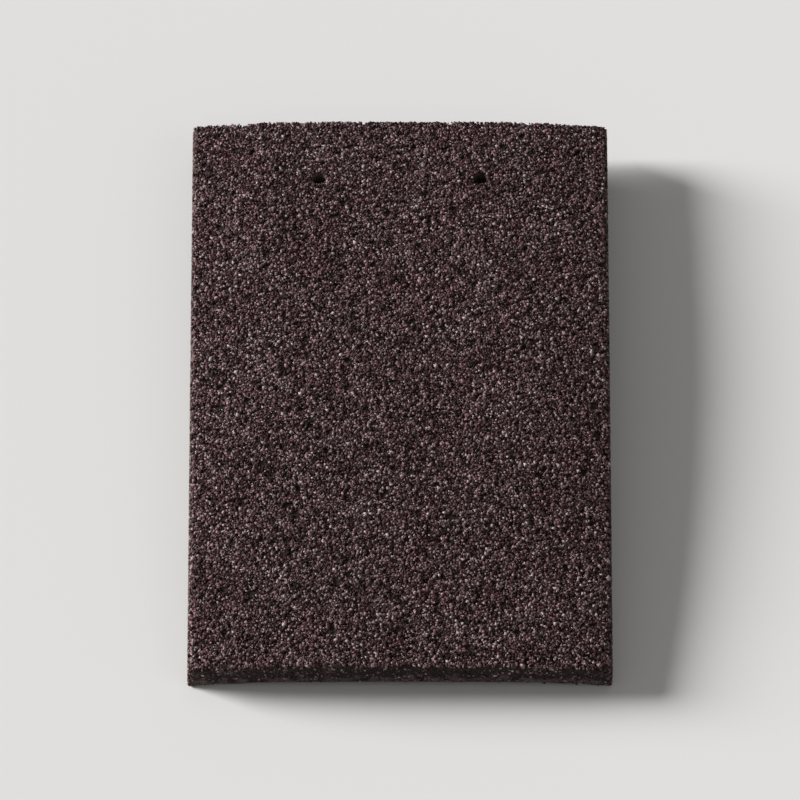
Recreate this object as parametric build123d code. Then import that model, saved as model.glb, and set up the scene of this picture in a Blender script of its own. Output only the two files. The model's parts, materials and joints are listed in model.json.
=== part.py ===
from build123d import *
import os
from math import asin, atan2, cos, degrees, sin, sqrt

# Concrete plain roof tile, cast in one piece. Lengths are in millimetres.
# X runs across the tile, +Y points to its head and +Z up, with the origin on the floor under its middle.
# It lies face up, on the feet of its two nibs and the lower corners of its tail.

# Slab
tile_length = 267.0
tile_width = 165.0
tile_thickness = 12.5

# Double camber: a flat crown whose shoulders roll off to the long edges, and a bow along the length
crown_width = 55.0
shoulder_drop = 3.2
length_rise = 5.0

# Arrises: moulded along the long edges of the face and the back, and worn round the two cut ends
face_arris_radius = 2.0
back_arris_radius = 1.0
cut_arris_radius = 0.8

# Nibs, the two hooks under the head that hang on a batten
nib_spacing = 94.0
nib_setback = 4.0
nib_depth = 10.0
nib_foot_width = 23.0
nib_foot_length = 8.0
nib_root_width = 29.0
nib_root_length = 13.0
nib_edge_radius = 1.5
nib_root_radius = 2.0

# Nail holes, formed straight down through the slab below the nibs
nail_hole_diameter = 5.5
nail_hole_spacing = 64.0
nail_hole_setback = 30.0

# Worked out from the sizes above
half_width = tile_width / 2
half_length = tile_length / 2
half_crown = crown_width / 2
shoulder_width = half_width - half_crown
shoulder_radius = (shoulder_width**2 + shoulder_drop**2) / (2 * shoulder_drop)
bow_radius = (half_length**2 + length_rise**2) / (2 * length_rise)
half_bow_angle = asin(half_length / bow_radius)
bow_axis = Axis((0, 0, -bow_radius), (1, 0, 0))


def fall_at(across):
    """How far the face lies below its crown at a distance from the middle."""
    beyond_crown = max(across - half_crown, 0)
    return shoulder_radius - sqrt(shoulder_radius**2 - beyond_crown**2)


def long_edge_corners(section, place):
    """The section's two corners at its long edges: the lowest pair, place 0, or the highest, place -1."""
    columns = section.vertices().group_by(Axis.X)
    return [column.sort_by(Axis.Y)[place] for column in (columns[0], columns[-1])]


def cross_section():
    """Section across the slab: crown, shoulders and upright edges, one thickness throughout."""
    edges = []
    for height in (0, -tile_thickness):
        edges.append(Line((-half_crown, height), (half_crown, height)))
        for side in (-1, 1):
            crown_end = (side * half_crown, height)
            long_edge = (side * half_width, height - shoulder_drop)
            edges.append(TangentArc(crown_end, long_edge, tangent=(side, 0)))
    for side in (-1, 1):
        face_corner = (side * half_width, -shoulder_drop)
        back_corner = (side * half_width, -shoulder_drop - tile_thickness)
        edges.append(Line(face_corner, back_corner))
    section = make_face(edges)
    section = fillet(long_edge_corners(section, -1), face_arris_radius)
    section = fillet(long_edge_corners(section, 0), back_arris_radius)
    return Plane.XZ * section


def cambered_slab():
    """The section swept along the bow, with the arrises of its two cut ends rounded."""
    swept = revolve(cross_section(), bow_axis, revolution_arc=2 * degrees(half_bow_angle))
    slab = swept.rotate(bow_axis, -degrees(half_bow_angle))
    from_tail = slab.faces().sort_by(Axis.Y)
    return fillet(from_tail[0].edges() + from_tail[-1].edges(), cut_arris_radius)


def rest_tilt():
    """Slope of the slab when the nib feet and the tail's lower corners share one floor."""
    tail_radius = bow_radius - shoulder_drop - tile_thickness
    tail_y = -tail_radius * sin(half_bow_angle)
    tail_z = tail_radius * cos(half_bow_angle) - bow_radius
    nib_y = half_length - nib_setback - nib_root_length / 2
    nib_radius = bow_radius - fall_at(nib_spacing / 2) - tile_thickness
    foot_z = sqrt(nib_radius**2 - nib_y**2) - bow_radius - nib_depth
    return degrees(atan2(tail_z - foot_z, nib_y - tail_y))


def nib():
    """One nib: flat foot on the floor, upright bearing face to the tail, the other sides drafted."""
    reach = nib_depth + tile_thickness / 2
    growth = reach / nib_depth
    top_length = nib_foot_length + (nib_root_length - nib_foot_length) * growth
    half_foot = nib_foot_width / 2
    half_top = half_foot + (nib_root_width - nib_foot_width) / 2 * growth
    side = Polygon((0, 0), (nib_foot_length, 0), (top_length, reach), (0, reach), align=None)
    front = Polygon((-half_foot, 0), (half_foot, 0), (half_top, reach), (-half_top, reach), align=None)
    side_prism = extrude(Plane.YZ * side, half_top, both=True)
    front_prism = extrude(Plane.XZ * front, top_length, both=True)
    block = side_prism & front_prism
    outer_edges = block.edges().filter_by(lambda edge: edge.center().Z < reach)
    return fillet(outer_edges, nib_edge_radius)


def nail_hole():
    """The way of one nail, right through the slab at the nibs' height."""
    return Pos(0, 0, nib_depth + tile_thickness / 2) * Cylinder(nail_hole_diameter / 2, 2 * tile_thickness)


def plain_tile():
    """The whole tile at rest on the floor."""
    tilted = Rot(X=rest_tilt()) * cambered_slab()
    box = tilted.bounding_box()
    slab = Pos(0, -box.center().Y, -box.min.Z) * tilted
    head_y = box.size.Y / 2
    bearing_y = head_y - nib_setback - nib_root_length
    nibs = [Pos(side * nib_spacing / 2, bearing_y, 0) * nib() for side in (-1, 1)]
    tile = slab + nibs
    tile = fillet(new_edges(slab, *nibs, combined=tile), nib_root_radius)
    for side in (-1, 1):
        tile -= Pos(side * nail_hole_spacing / 2, head_y - nail_hole_setback, 0) * nail_hole()
    return tile


os.makedirs("parts", exist_ok=True)
export_step(plain_tile(), "parts/plain_tile.step")
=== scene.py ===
import json
import math

import bmesh
import bpy
import numpy as np
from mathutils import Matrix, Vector, noise
from mathutils.bvhtree import BVHTree


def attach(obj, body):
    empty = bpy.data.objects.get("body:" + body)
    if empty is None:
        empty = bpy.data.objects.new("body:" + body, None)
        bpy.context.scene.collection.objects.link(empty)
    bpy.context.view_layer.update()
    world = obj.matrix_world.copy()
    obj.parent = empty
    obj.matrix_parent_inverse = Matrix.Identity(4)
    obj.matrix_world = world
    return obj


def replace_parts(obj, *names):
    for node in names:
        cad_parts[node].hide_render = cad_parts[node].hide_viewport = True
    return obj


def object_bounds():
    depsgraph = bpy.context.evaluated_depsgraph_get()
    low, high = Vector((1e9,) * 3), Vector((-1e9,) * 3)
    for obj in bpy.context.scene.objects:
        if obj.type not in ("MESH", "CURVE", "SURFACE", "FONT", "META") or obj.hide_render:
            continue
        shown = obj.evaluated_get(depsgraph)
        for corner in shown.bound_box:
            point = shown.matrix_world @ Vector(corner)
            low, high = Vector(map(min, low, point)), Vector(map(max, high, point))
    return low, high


# Concrete plain roof tile with a granule face. Lengths are in metres.
# An upward share is the upright part of a surface's normal.
NODE = "plain_tile"
SEED = 20
MILLIMETRES_PER_METRE = 1000

# Cast body: the size of its mesh, and how far its surfaces stray from true
BODY_VOXEL = 0.0011
WELD_DISTANCE = 0.000011
FACE_SINK = 0.0007
FACE_WAVE_DEPTH = 0.0001
EDGE_ROUGH_DEPTH = 0.00022
EDGE_FINE_SHARE = 2 / 3
BACK_WAVE_DEPTH = 0.00006
COARSE_WAVELENGTH = 0.009
FINE_WAVELENGTH = 0.0026

# Rim that counts as the face's edge, and the slurry that runs down over it; down the tail it runs most of
# the way, a real end coat whose near-black is also painted shade
EDGE_INSET = 0.0022
SLURRY_RUN = 0.00035
TAIL_SLURRY_AND_SHADE_RUN = 0.0095
SLURRY_RAGGED = 0.0005
TAIL_SLURRY_AND_SHADE_RAGGED = 0.005
SLURRY_WAVELENGTH = 0.0045
SLURRY_FADE = 0.0004

# Wear: granules rubbed off the arrises, small chips out of them, and pits where granules are missing
ARRIS_UPWARD_SHARE = 0.9
ARRIS_KEPT_SHARE = 0.45
CHIPS = 22
CHIP_RADII = (0.0011, 0.0026)
CHIP_DEPTH = 0.0009
CHIP_RAGGED_SHARE = 0.5
PITS = 1800
PIT_RADII = (0.0005, 0.0014)
PIT_SKEW = 3
HOLE_CLEARANCE = 0.0004

# Granules bedded in the face, and those that stick to the slurry on its edges
COARSE_PITCH = 0.00088
COARSE_SIZE = 0.00096
COARSE_RISE_SHARES = (-0.8, -0.24)
FINE_PITCH = 0.0015
FINE_SIZE = 0.0006
FINE_RISE_SHARES = (-0.9, -0.35)
EDGE_GRAIN_SIZE = 0.00092
EDGE_RISE_SHARES = (-0.6, -0.2)
GRANULE_UPWARD_SHARE = 0.3
GRANULE_JITTER_SHARE = 0.4
GRANULE_PIECES = 6

# Sand that stands out of the bare edges
SAND_SPACING = 0.0011
SAND_SIZE = 0.00085
SAND_RISE_SHARES = (-0.5, -0.26)
SAND_UPWARD_SHARES = (-0.3, 0.6)

# Shape of a granule or a grain of sand, with corners 0, 1, 2 along its three axes and 3, 4, 5 against them
GRAIN_RING = (0, 1, 3, 4)
GRAIN_TOP = 2
GRAIN_BOTTOM = 5
GRAIN_SIZE_SPREAD = 0.24
GRAIN_LEAST_SHARE = 0.55
GRAIN_MOST_SHARE = 1.5
GRAIN_CORNER_SHARE = 0.14
GRAIN_REACH_SHARES = ((0.8, 1.0), (0.65, 0.85), (0.5, 0.75))
GRAIN_TILT = math.radians(32)
GRAIN_OVERHANG = 0.0002
MAP_SPLIT = (4, 2)
MAP_MARGIN_SHARE = 0.1

# Tone and redness of each grain
TONE_SHAPE = (0.9, 1.2)
MOTTLE_SHARE = 0.05
MOTTLE_WAVELENGTH = 0.035
HUE_MIDDLE = 0.5
HUE_OWN_SHARE = 0.35
HUE_PATCH_SHARE = 0.3
HUE_WAVELENGTH = 0.014

# Shifts that set the noises apart, in wavelengths
COARSE_SHIFT = 3.1
FINE_SHIFT = 17.7
SLURRY_SHIFT = 8.6
CHIP_SHIFT = 31.9
MOTTLE_SHIFT = 5.3
HUE_SHIFT = 23.1

# Material of the grains
GRAIN_SATURATIONS = (0.75, 1.25)
GRAIN_GLOSS_TONES = (0.3, 1.0)
GRAIN_ROUGHNESSES = (0.9, 0.55)
GRAIN_SPECULAR = 0.1
CRYSTAL_SIZE = 0.0004
CRYSTAL_DETAIL = 2.0
CRYSTAL_RANGE = (0.2, 0.8)
CRYSTAL_SHADES = (0.6, 1.4)
CRYSTAL_DEPTH = 0.0002

# Material of the concrete
CLOUD_SIZE = 0.022
CLOUD_DETAIL = 8.0
CLOUD_ROUGHNESS = 0.65
CLOUD_RANGE = (0.3, 0.7)
CONCRETE_ROUGHNESSES = (0.97, 0.84)
CONCRETE_SPECULAR = 0.3
FLECK_SIZE = 0.0009
FLECK_REACH_SHARE = 0.42
FLECK_CORE_SHARE = 0.75
FLECK_HEIGHT_SHARE = 0.5
PORE_SPACING = 0.0034
PORE_REACH_SHARE = 0.17
PORE_CHANCES = (0.6, 0.62)
PORE_SHADE_SHARE = 0.75
PORE_HEIGHT_SHARE = -2.0
GRIT_SIZE = 0.0007
GRIT_DETAIL = 4.0
GRIT_ROUGHNESS = 0.7
GRIT_DEPTH = 0.0004
DRAG_SIZES = (0.0007, 0.0007, 0.007)
DRAG_DETAIL = 3.0
DRAG_HEIGHT_SHARE = 0.9

# Colours from 0 to 255, as seen on screen, with the places of those that are stops of a ramp
GRAIN_STOPS = ((0.0, (23, 14, 15)), (0.3, (65, 47, 48)), (0.55, (100, 75, 77)), (0.8, (130, 106, 107)),
               (0.95, (156, 136, 137)), (1.0, (178, 162, 162)))
SAND_STOPS = ((0.0, (40, 31, 30)), (0.3, (70, 57, 54)), (0.62, (93, 78, 75)), (0.88, (122, 107, 102)),
              (1.0, (153, 141, 134)))
CONCRETE_STOPS = ((0.34, (62, 50, 48)), (0.52, (77, 64, 61)), (0.68, (95, 82, 78)))
FLECK_STOPS = ((0.0, (49, 39, 37)), (0.4, (76, 63, 60)), (0.75, (106, 92, 87)), (1.0, (140, 128, 120)))
# Slurry: real under the granules and as the tail's end coat; its near-black down the tail is also painted
# shade
SLURRY_AND_TAIL_SHADE_STOPS = ((0.38, (15, 9, 9)), (0.5, (26, 18, 18)), (0.62, (58, 44, 42)))
# Painted shade inside the pores, which are dents by bump only
PAINTED_PORE_SHADE = (29, 20, 20)
FLOOR = (226, 225, 223)

# Camera, floor and light
CAMERA_ELEVATION = math.radians(52)
CAMERA_DISTANCE = 5.7
VIEW_WIDTH = 0.315
SENSOR_WIDTH = 0.036
FLOOR_HALF = 12.0
KEY_TOWARDS = (-2.8, 0.7, 1.0)
KEY_STRENGTH = 7.0
KEY_ANGLE = math.radians(24)
FILL_TOWARDS = (1.0, -0.8, 0.5)
FILL_STRENGTH = 0.35
FILL_ANGLE = math.radians(60)
WORLD_STRENGTH = 0.21

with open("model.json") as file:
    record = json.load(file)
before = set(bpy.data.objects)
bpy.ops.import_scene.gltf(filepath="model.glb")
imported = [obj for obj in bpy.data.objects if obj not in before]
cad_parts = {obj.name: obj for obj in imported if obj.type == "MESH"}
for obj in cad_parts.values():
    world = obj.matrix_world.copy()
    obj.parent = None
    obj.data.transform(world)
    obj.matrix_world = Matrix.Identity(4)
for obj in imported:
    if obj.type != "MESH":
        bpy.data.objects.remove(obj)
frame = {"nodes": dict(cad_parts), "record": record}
cad_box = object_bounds()
cad_tile = frame["nodes"][NODE]
random = np.random.default_rng(SEED)


def linear(colour):
    """A screen colour of 0 to 255 as linear light with full alpha, by the sRGB curve."""
    shares = [value / 255 for value in colour]
    return tuple(s / 12.92 if s <= 0.04045 else ((s + 0.055) / 1.055) ** 2.4 for s in shares) + (1.0,)


def set_inputs(tree, node, inputs):
    """Sets inputs of a node, by name or by place, each to a value or to another node's output."""
    for key, value in inputs.items():
        if isinstance(value, bpy.types.NodeSocket):
            tree.links.new(value, node.inputs[key])
        else:
            node.inputs[key].default_value = value


def add_node(tree, kind, inputs=None, **settings):
    """A new shader node with its settings and inputs."""
    made = tree.nodes.new(kind)
    for name, value in settings.items():
        setattr(made, name, value)
    set_inputs(tree, made, inputs or {})
    return made


def mix_colours(tree, factor, first, second, blend_type="MIX"):
    """The output of a mix of two colours. The node takes its factor and colours at places 0, 6 and 7."""
    inputs = {0: factor, 6: first, 7: second}
    return add_node(tree, "ShaderNodeMix", inputs, data_type="RGBA", blend_type=blend_type).outputs[2]


def product(tree, first, second):
    """The output of first times second."""
    return add_node(tree, "ShaderNodeMath", {0: first, 1: second}, operation="MULTIPLY").outputs["Value"]


def sum_of(tree, first, second, scale):
    """The output of first plus second times scale."""
    inputs = {0: second, 1: scale, 2: first}
    return add_node(tree, "ShaderNodeMath", inputs, operation="MULTIPLY_ADD").outputs["Value"]


def spread(tree, value, from_range=(0.0, 1.0), to_range=(0.0, 1.0)):
    """The output of a value spread from one range to another."""
    inputs = {"Value": value}
    inputs["From Min"], inputs["From Max"] = from_range
    inputs["To Min"], inputs["To Max"] = to_range
    return add_node(tree, "ShaderNodeMapRange", inputs).outputs["Result"]


def colour_ramp(tree, factor, stops):
    """The output of a colour ramp over a factor, with stops of place and screen colour."""
    made = add_node(tree, "ShaderNodeValToRGB", {"Fac": factor})
    elements = made.color_ramp.elements
    while len(elements) < len(stops):
        elements.new(1.0)
    for element, (place, colour) in zip(elements, stops):
        element.position = place
        element.color = linear(colour)
    return made.outputs["Color"]


def cloudy(tree, place, size, detail, roughness=0.5):
    """The output of a noise whose largest lumps have the given size."""
    inputs = {"Vector": place, "Scale": 1 / size, "Detail": detail, "Roughness": roughness}
    return add_node(tree, "ShaderNodeTexNoise", inputs).outputs["Fac"]


def bumped(tree, height, depth):
    """The normal of a surface that is lifted by a height times the given depth."""
    return add_node(tree, "ShaderNodeBump", {"Height": height, "Distance": depth}).outputs["Normal"]


def object_place(tree):
    """The output of each point's place on the object."""
    return add_node(tree, "ShaderNodeTexCoord").outputs["Object"]


def vertex_value(tree, name):
    """The output of a number that the mesh holds for each vertex."""
    return add_node(tree, "ShaderNodeAttribute", attribute_name=name).outputs["Fac"]


def new_material(name):
    """An empty node material: the material, its tree and its Principled node."""
    material = bpy.data.materials.new(name)
    material.use_nodes = True
    tree = material.node_tree
    return material, tree, tree.nodes["Principled BSDF"]


def grain_material(name, stops):
    """Mineral grains, each of its own tone and redness, with crystals in it. Pale grains are less rough."""
    material, tree, shader = new_material(name)
    tone = vertex_value(tree, "grain_tone")
    saturation = spread(tree, vertex_value(tree, "grain_hue"), to_range=GRAIN_SATURATIONS)
    own = add_node(tree, "ShaderNodeHueSaturation",
                   {"Color": colour_ramp(tree, tone, stops), "Saturation": saturation})
    crystal = cloudy(tree, object_place(tree), CRYSTAL_SIZE, CRYSTAL_DETAIL)
    shade = spread(tree, crystal, CRYSTAL_RANGE, CRYSTAL_SHADES)
    set_inputs(tree, shader, {
        "Base Color": mix_colours(tree, 1.0, own.outputs["Color"], shade, "MULTIPLY"),
        "Roughness": spread(tree, tone, GRAIN_GLOSS_TONES, GRAIN_ROUGHNESSES),
        "Normal": bumped(tree, crystal, CRYSTAL_DEPTH),
        "Specular IOR Level": GRAIN_SPECULAR,
    })
    return material


def flecks(tree, place, size, reach):
    """Round flecks: how much each point is in one, and a number of the fleck's own."""
    cells = add_node(tree, "ShaderNodeTexVoronoi", {"Vector": place, "Scale": 1 / size})
    inside = spread(tree, cells.outputs["Distance"], (reach, FLECK_CORE_SHARE * reach))
    own = add_node(tree, "ShaderNodeSeparateColor", {"Color": cells.outputs["Color"]})
    return inside, own.outputs["Red"]


def drag_marks(tree, place):
    """Upright marks that the knife left on the two cut ends."""
    scale = [1 / size for size in DRAG_SIZES]
    stretched = add_node(tree, "ShaderNodeMapping", {"Vector": place, "Scale": scale}).outputs["Vector"]
    marks = cloudy(tree, stretched, 1.0, DRAG_DETAIL)
    normal = add_node(tree, "ShaderNodeNewGeometry").outputs["Normal"]
    endward = add_node(tree, "ShaderNodeSeparateXYZ", {"Vector": normal}).outputs["Y"]
    return product(tree, product(tree, endward, endward), marks)


def concrete_material():
    """Through-coloured concrete: clouded paste, sand, pores with painted shade in them, and dark gritty
    slurry under the granules and down the tail, where its near-black is also painted shade.
    """
    material, tree, shader = new_material("brown_concrete")
    place = object_place(tree)
    cloud = cloudy(tree, place, CLOUD_SIZE, CLOUD_DETAIL, CLOUD_ROUGHNESS)
    paste = colour_ramp(tree, cloud, CONCRETE_STOPS)
    in_fleck, fleck_tone = flecks(tree, place, FLECK_SIZE, FLECK_REACH_SHARE)
    sandy = mix_colours(tree, in_fleck, paste, colour_ramp(tree, fleck_tone, FLECK_STOPS))
    in_cell, pore_chance = flecks(tree, place, PORE_SPACING, PORE_REACH_SHARE)
    pore = product(tree, in_cell, spread(tree, pore_chance, PORE_CHANCES))
    # Pores are dents by bump; the dark colour laid in them is painted shade
    sandy_with_pore_shade = mix_colours(tree, product(tree, pore, PORE_SHADE_SHARE), sandy, linear(PAINTED_PORE_SHADE))
    grit = cloudy(tree, place, GRIT_SIZE, GRIT_DETAIL, GRIT_ROUGHNESS)
    # Near-black slurry colour, which down the tail is also painted shade
    slurry = colour_ramp(tree, grit, SLURRY_AND_TAIL_SHADE_STOPS)
    height = sum_of(tree, grit, in_fleck, FLECK_HEIGHT_SHARE)
    height = sum_of(tree, height, pore, PORE_HEIGHT_SHARE)
    height = sum_of(tree, height, drag_marks(tree, place), DRAG_HEIGHT_SHARE)
    # The slurry cover lays the near-black slurry over the concrete, and down the tail this is also painted
    # shade
    set_inputs(tree, shader, {
        "Base Color": mix_colours(tree, vertex_value(tree, "slurry"), sandy_with_pore_shade, slurry),
        "Roughness": spread(tree, cloud, CLOUD_RANGE, CONCRETE_ROUGHNESSES),
        "Normal": bumped(tree, height, GRIT_DEPTH),
        "Specular IOR Level": CONCRETE_SPECULAR,
    })
    return material


def welded_tile():
    """The tile's solid as one closed mesh of triangles."""
    tile = bmesh.new()
    tile.from_mesh(cad_tile.data)
    bmesh.ops.remove_doubles(tile, verts=tile.verts, dist=WELD_DISTANCE)
    bmesh.ops.triangulate(tile, faces=tile.faces)
    return tile


def place_chips():
    """Middles and radii of the chips, at random round the edges of the face."""
    low, high = cad_box
    along_x = random.uniform(low.x, high.x, CHIPS)
    along_y = random.uniform(low.y, high.y, CHIPS)
    side = random.integers(0, 4, CHIPS)
    x = np.choose(side, (along_x, along_x, np.full(CHIPS, low.x), np.full(CHIPS, high.x)))
    y = np.choose(side, (np.full(CHIPS, low.y), np.full(CHIPS, high.y), along_y, along_y))
    return np.stack([x, y, random.uniform(*CHIP_RADII, CHIPS)], 1)


def place_pits():
    """Middles and radii of the pits: many small ones and a few larger."""
    low, high = cad_box
    middles = random.uniform((low.x, low.y), (high.x, high.y), (PITS, 2))
    least, most = PIT_RADII
    radii = least + (most - least) * random.uniform(0, 1, PITS) ** PIT_SKEW
    return np.column_stack([middles, radii])


# The solid and its wear, which the functions below read
closed_tile = welded_tile()
tile_tree = BVHTree.FromBMesh(closed_tile)
chips = place_chips()
pits = place_pits()


def waves(points, wavelength, shift):
    """Smooth noise from about -1 to 1 at each point, with the given wavelength."""
    away = Vector((shift, shift, shift))
    return np.array([noise.noise(Vector(point) / wavelength + away) for point in points])


def face_under(x, y):
    """The point of the face at a place in plan, and its normal: both None over a hole or past the edges."""
    above = cad_box[1].z + BODY_VOXEL
    spot, normal, _, _ = tile_tree.ray_cast(Vector((x, y, above)), Vector((0, 0, -1)))
    return spot, normal


def below_face(points):
    """How far each point lies below the face beside it, without end over a hole."""
    low, high = cad_box
    depths = []
    for x, y, z in points:
        inner_x = min(max(x, low.x + EDGE_INSET), high.x - EDGE_INSET)
        inner_y = min(max(y, low.y + EDGE_INSET), high.y - EDGE_INSET)
        spot, _ = face_under(inner_x, inner_y)
        depths.append(math.inf if spot is None else spot.z - z)
    return np.array(depths)


def chip_depths(points):
    """How deep a chip is cut at each point, from 0 to 1, with ragged rims."""
    ragged = 1 + CHIP_RAGGED_SHARE * waves(points, FINE_WAVELENGTH, CHIP_SHIFT)
    depth = np.zeros(len(points))
    near_face = below_face(points) < 2 * CHIP_RADII[1]
    for x, y, radius in chips:
        away = np.hypot(points[:, 0] - x, points[:, 1] - y) / (radius * ragged)
        depth = np.maximum(depth, near_face * np.clip(1 - away**2, 0, 1))
    return depth


def slurry_and_tail_shade_cover(points):
    """How much slurry covers each point: all over the face, and ragged down its edges, most at the tail,
    where its near-black is also painted shade.
    """
    at_tail = points[:, 1] < cad_box[0].y + EDGE_INSET
    run = np.where(at_tail, TAIL_SLURRY_AND_SHADE_RUN, SLURRY_RUN)
    ragged = np.where(at_tail, TAIL_SLURRY_AND_SHADE_RAGGED, SLURRY_RAGGED)
    run = run + ragged * waves(points, SLURRY_WAVELENGTH, SLURRY_SHIFT)
    cover = np.clip((run - below_face(points)) / SLURRY_FADE, 0, 1)
    return cover * (chip_depths(points) == 0)


def add_object(name, data):
    """A new object in the scene with the given mesh, lamp or camera."""
    made = bpy.data.objects.new(name, data)
    bpy.context.scene.collection.objects.link(made)
    return made


def remeshed(tile):
    """An even mesh of the closed tile."""
    rough = bpy.data.meshes.new("rough_tile")
    tile.to_mesh(rough)
    holder = add_object("rough_tile", rough)
    remesh = holder.modifiers.new("even", "REMESH")
    remesh.mode = "VOXEL"
    remesh.voxel_size = BODY_VOXEL
    even = bpy.data.meshes.new_from_object(holder.evaluated_get(bpy.context.evaluated_depsgraph_get()))
    bpy.data.objects.remove(holder)
    bpy.data.meshes.remove(rough)
    return even


def read_vectors(data, key):
    """A row of three numbers for each item of a mesh's data."""
    numbers = np.empty(len(data) * 3)
    data.foreach_get(key, numbers)
    return numbers.reshape(-1, 3)


def add_value(mesh, name, values):
    """A number for each vertex, which a material reads by name."""
    attribute = mesh.attributes.new(name, "FLOAT", "POINT")
    attribute.data.foreach_set("value", np.asarray(values, np.float32))


def add_piece(name, mesh, material):
    """A piece of the tile that shows a mesh in one material."""
    mesh.materials.clear()
    mesh.materials.append(material)
    piece = add_object(name, mesh)
    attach(piece, "root")
    return piece


def make_body():
    """The cast slab with its nibs: sunk under the granules, rough at its edges and waved at its back."""
    mesh = remeshed(closed_tile)
    points = read_vectors(mesh.vertices, "co")
    normals = read_vectors(mesh.vertex_normals, "vector")
    upward = normals[:, 2]
    face = np.clip(upward, 0, 1)
    back = np.clip(-upward, 0, 1)
    edge = 1 - np.abs(upward)
    coarse = waves(points, COARSE_WAVELENGTH, COARSE_SHIFT)
    fine = waves(points, FINE_WAVELENGTH, FINE_SHIFT)
    move = face * (FACE_WAVE_DEPTH * coarse - FACE_SINK)
    move += edge * EDGE_ROUGH_DEPTH * (coarse + EDGE_FINE_SHARE * (fine - coarse))
    move += back * BACK_WAVE_DEPTH * coarse
    move -= CHIP_DEPTH * chip_depths(points)
    mesh.vertices.foreach_set("co", (points + normals * move[:, None]).ravel())
    # Slurry cover, which down the tail also lays painted shade
    add_value(mesh, "slurry", slurry_and_tail_shade_cover(points))
    mesh.polygons.foreach_set("use_smooth", np.ones(len(mesh.polygons), bool))
    mesh.update()
    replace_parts(add_piece("tile_body", mesh, concrete_material()), NODE)


def spread_places(pitch):
    """Jittered places in plan, in rows set out like bricks."""
    low, high = cad_box
    rows = np.arange(low.y, high.y, pitch * math.sqrt(3) / 2)
    columns = np.arange(low.x, high.x, pitch)
    x, y = np.meshgrid(columns, rows)
    x = x + (np.arange(len(rows)) % 2)[:, None] * pitch / 2
    places = np.stack([x.ravel(), y.ravel()], 1)
    return places + random.uniform(-1, 1, places.shape) * GRANULE_JITTER_SHARE * pitch


def kept_places(places):
    """The places that are clear of the nail holes and of the face's pits."""
    keep = np.ones(len(places), bool)
    for mount in frame["record"]["mounts"]:
        if mount["kind"] == "bore":
            radius = mount["dims"]["r_mm"] / MILLIMETRES_PER_METRE + HOLE_CLEARANCE
            keep &= np.hypot(*(places - mount["pos_m"][:2]).T) > radius
    for x, y, radius in pits:
        keep &= np.hypot(places[:, 0] - x, places[:, 1] - y) > radius
    return places[keep]


def face_spots(pitch):
    """Places over the face, and the normal at each, down to its rounded edges, where some are rubbed off."""
    spots = []
    for x, y in kept_places(spread_places(pitch)):
        spot, normal = face_under(x, y)
        if spot is not None and normal.z > GRANULE_UPWARD_SHARE:
            spots.append((*spot, *normal))
    spots = np.array(spots)
    kept = (spots[:, 5] > ARRIS_UPWARD_SHARE) | (random.uniform(0, 1, len(spots)) < ARRIS_KEPT_SHARE)
    return spots[kept & (chip_depths(spots[:, :3]) == 0)]


def edge_spots():
    """Random places over the four edges, and the normal at each."""
    corners = np.array([[vertex.co for vertex in face.verts] for face in closed_tile.faces])
    normals = np.array([face.normal for face in closed_tile.faces])
    middles = np.abs(corners.mean(1))
    high = cad_box[1]
    outer = (middles[:, 0] > high.x - EDGE_INSET) | (middles[:, 1] > high.y - EDGE_INSET)
    least, most = SAND_UPWARD_SHARES
    pick = outer & (normals[:, 2] > least) & (normals[:, 2] < most)
    corners = corners[pick]
    normals = normals[pick]
    across = np.cross(corners[:, 1] - corners[:, 0], corners[:, 2] - corners[:, 0])
    areas = np.linalg.norm(across, axis=1) / 2
    count = int(areas.sum() / SAND_SPACING**2)
    chosen = random.choice(len(areas), count, p=areas / areas.sum())
    shares = random.dirichlet((1, 1, 1), count)
    return np.hstack([np.einsum("nk,nkd->nd", shares, corners[chosen]), normals[chosen]])


def turned_axes(normals):
    """Random axes for each grain: its thin way near the normal, turned and tilted at random."""
    count = len(normals)
    tilted = normals + random.normal(0, math.tan(GRAIN_TILT), (count, 3))
    thin = tilted / np.linalg.norm(tilted, axis=1, keepdims=True)
    along = np.cross(thin, random.normal(size=(count, 3)))
    along /= np.linalg.norm(along, axis=1, keepdims=True)
    return np.stack([along, np.cross(thin, along), thin], 1)


def grain_corners(spots, mean_size, rise_shares):
    """Six corners for each grain: a crushed stone, partly sunk, and flush with the sides of the mould."""
    count = len(spots)
    places = spots[:, :3]
    normals = spots[:, 3:]
    size = np.exp(random.normal(math.log(mean_size), GRAIN_SIZE_SPREAD, count))
    size = np.clip(size, GRAIN_LEAST_SHARE * mean_size, GRAIN_MOST_SHARE * mean_size)
    shares = np.stack([random.uniform(low, high, count) for low, high in GRAIN_REACH_SHARES], 1)
    ends = np.vstack([np.eye(3), -np.eye(3)])
    crushed = ends + random.normal(0, GRAIN_CORNER_SHARE, (count, *ends.shape))
    crushed *= (shares * size[:, None])[:, None, :]
    centre = places + normals * (size * random.uniform(*rise_shares, count))[:, None]
    corners = centre[:, None, :] + np.einsum("nij,njk->nik", crushed, turned_axes(normals))
    reach = np.array([cad_box[1].x + GRAIN_OVERHANG, cad_box[1].y + GRAIN_OVERHANG])
    corners[:, :, :2] = np.clip(corners[:, :, :2], -reach, reach)
    return corners


def grain_tones(spots):
    """A tone for each grain, with faint clouds of lighter and darker grains."""
    tone = random.beta(*TONE_SHAPE, len(spots))
    tone += MOTTLE_SHARE * waves(spots[:, :3], MOTTLE_WAVELENGTH, MOTTLE_SHIFT)
    return np.clip(tone, 0, 1)


def grain_hues(spots):
    """How red each grain is, with small patches of redder and greyer grains."""
    hue = HUE_MIDDLE + HUE_OWN_SHARE * random.uniform(-1, 1, len(spots))
    hue += HUE_PATCH_SHARE * waves(spots[:, :3], HUE_WAVELENGTH, HUE_SHIFT)
    return np.clip(hue, 0, 1)


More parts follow.
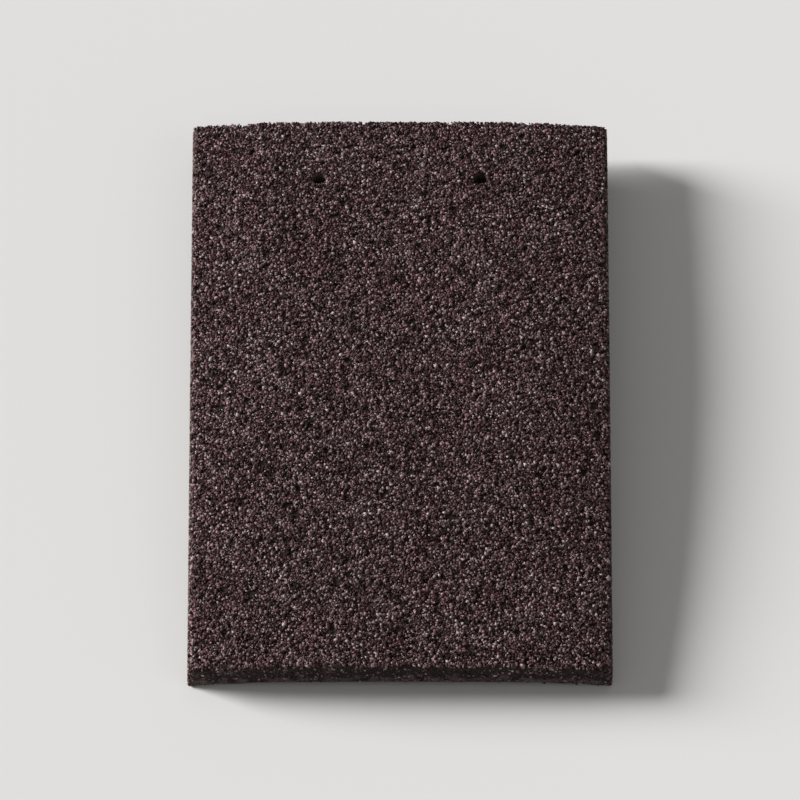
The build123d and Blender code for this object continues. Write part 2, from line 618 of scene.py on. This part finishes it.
def cell_corners(count):
    """Map corners that give each grain a cell of its own, split between its eight faces."""
    across = math.ceil(math.sqrt(count))
    cell = np.stack([np.arange(count) % across, np.arange(count) // across], 1) / across
    columns, rows = MAP_SPLIT
    part_size = 1 / (np.array(MAP_SPLIT) * across)
    part = np.array([(x, y) for y in range(rows) for x in range(columns)]) * part_size
    near = MAP_MARGIN_SHARE
    far = 1 - MAP_MARGIN_SHARE
    corner = np.array([(near, near), (far, near), (near, far)]) * part_size
    return cell[:, None, None, :] + part[None, :, None, :] + corner[None, None, :, :]


def grain_faces():
    """A grain's eight faces, from each side of its ring up to the top corner and down to the bottom one."""
    sides = list(zip(GRAIN_RING, GRAIN_RING[1:] + GRAIN_RING[:1]))
    upper = [(start, end, GRAIN_TOP) for start, end in sides]
    lower = [(end, start, GRAIN_BOTTOM) for start, end in sides]
    return np.array(upper + lower)


def make_grains(name, corners, tones, hues, material):
    """One joined mesh of closed grains."""
    count, corner_count, _ = corners.shape
    faces = grain_faces()
    loops = (np.arange(count)[:, None, None] * corner_count + faces).ravel()
    loop_starts = np.arange(0, len(loops), 3)
    mesh = bpy.data.meshes.new(name)
    mesh.vertices.add(count * corner_count)
    mesh.vertices.foreach_set("co", corners.ravel())
    mesh.loops.add(len(loops))
    mesh.loops.foreach_set("vertex_index", loops)
    mesh.polygons.add(len(loop_starts))
    mesh.polygons.foreach_set("loop_start", loop_starts)
    mesh.uv_layers.new(name="OFBake").data.foreach_set("uv", cell_corners(count).ravel())
    add_value(mesh, "grain_tone", np.repeat(tones, corner_count))
    add_value(mesh, "grain_hue", np.repeat(hues, corner_count))
    mesh.update()
    mesh.validate()
    add_piece(name, mesh, material)


def make_edges():
    """Sand in the bare edges. The places that slurry covers are given back, for granules."""
    spots = edge_spots()
    covered = slurry_and_tail_shade_cover(spots[:, :3]) > random.uniform(0, 1, len(spots))
    sand = spots[~covered]
    corners = grain_corners(sand, SAND_SIZE, SAND_RISE_SHARES)
    material = grain_material("edge_sand", SAND_STOPS)
    make_grains("edge_sand", corners, grain_tones(sand), grain_hues(sand), material)
    return spots[covered]


def make_granules(edge_granules):
    """The granules in strips from side to side: coarse ones, finer ones between, and those on the edges."""
    coarse = face_spots(COARSE_PITCH)
    fine = face_spots(FINE_PITCH)
    corners = np.concatenate([grain_corners(coarse, COARSE_SIZE, COARSE_RISE_SHARES),
                              grain_corners(fine, FINE_SIZE, FINE_RISE_SHARES),
                              grain_corners(edge_granules, EDGE_GRAIN_SIZE, EDGE_RISE_SHARES)])
    spots = np.concatenate([coarse, fine, edge_granules])
    tones = grain_tones(spots)
    hues = grain_hues(spots)
    material = grain_material("brown_granules", GRAIN_STOPS)
    order = np.argsort(corners[:, 0, 0])
    for number, strip in enumerate(np.array_split(order, GRANULE_PIECES)):
        make_grains(f"granules_{number + 1}", corners[strip], tones[strip], hues[strip], material)


def make_floor():
    """A plain pale floor, with no gloss."""
    mesh = bpy.data.meshes.new("floor")
    signs = ((-1, -1), (1, -1), (1, 1), (-1, 1))
    mesh.from_pydata([(x * FLOOR_HALF, y * FLOOR_HALF, 0) for x, y in signs], [], [(0, 1, 2, 3)])
    material, tree, shader = new_material("pale_floor")
    set_inputs(tree, shader, {"Base Color": linear(FLOOR), "Roughness": 1.0, "Specular IOR Level": 0.0})
    mesh.materials.append(material)
    floor = add_object("floor", mesh)


def make_sun(name, towards, strength, angle):
    """A broad distant lamp that stands in the given direction."""
    light = bpy.data.lights.new(name, "SUN")
    light.energy = strength
    light.angle = angle
    lamp = add_object(name, light)
    lamp.rotation_mode = "QUATERNION"
    lamp.rotation_quaternion = Vector(towards).to_track_quat("Z", "Y")


def make_world():
    """Even white light from all round."""
    world = bpy.data.worlds.new("studio")
    world.use_nodes = True
    tree = world.node_tree
    white = (1.0, 1.0, 1.0, 1.0)
    set_inputs(tree, tree.nodes["Background"], {"Color": white, "Strength": WORLD_STRENGTH})
    bpy.context.scene.world = world


def make_camera():
    """A long lens over the tail, looking down on the face."""
    data = bpy.data.cameras.new("camera")
    data.sensor_width = SENSOR_WIDTH * MILLIMETRES_PER_METRE
    data.lens = SENSOR_WIDTH / VIEW_WIDTH * CAMERA_DISTANCE * MILLIMETRES_PER_METRE
    camera = add_object("camera", data)
    back = Vector((0, -math.cos(CAMERA_ELEVATION), math.sin(CAMERA_ELEVATION)))
    middle = (cad_box[0] + cad_box[1]) / 2
    camera.location = middle + back * CAMERA_DISTANCE
    camera.rotation_mode = "QUATERNION"
    camera.rotation_quaternion = (-back).to_track_quat("-Z", "Y")
    bpy.context.scene.camera = camera


make_body()
make_granules(make_edges())
closed_tile.free()
make_floor()
make_sun("key", KEY_TOWARDS, KEY_STRENGTH, KEY_ANGLE)
make_sun("fill", FILL_TOWARDS, FILL_STRENGTH, FILL_ANGLE)
make_world()
make_camera()
bpy.context.scene.view_settings.view_transform = "Standard"
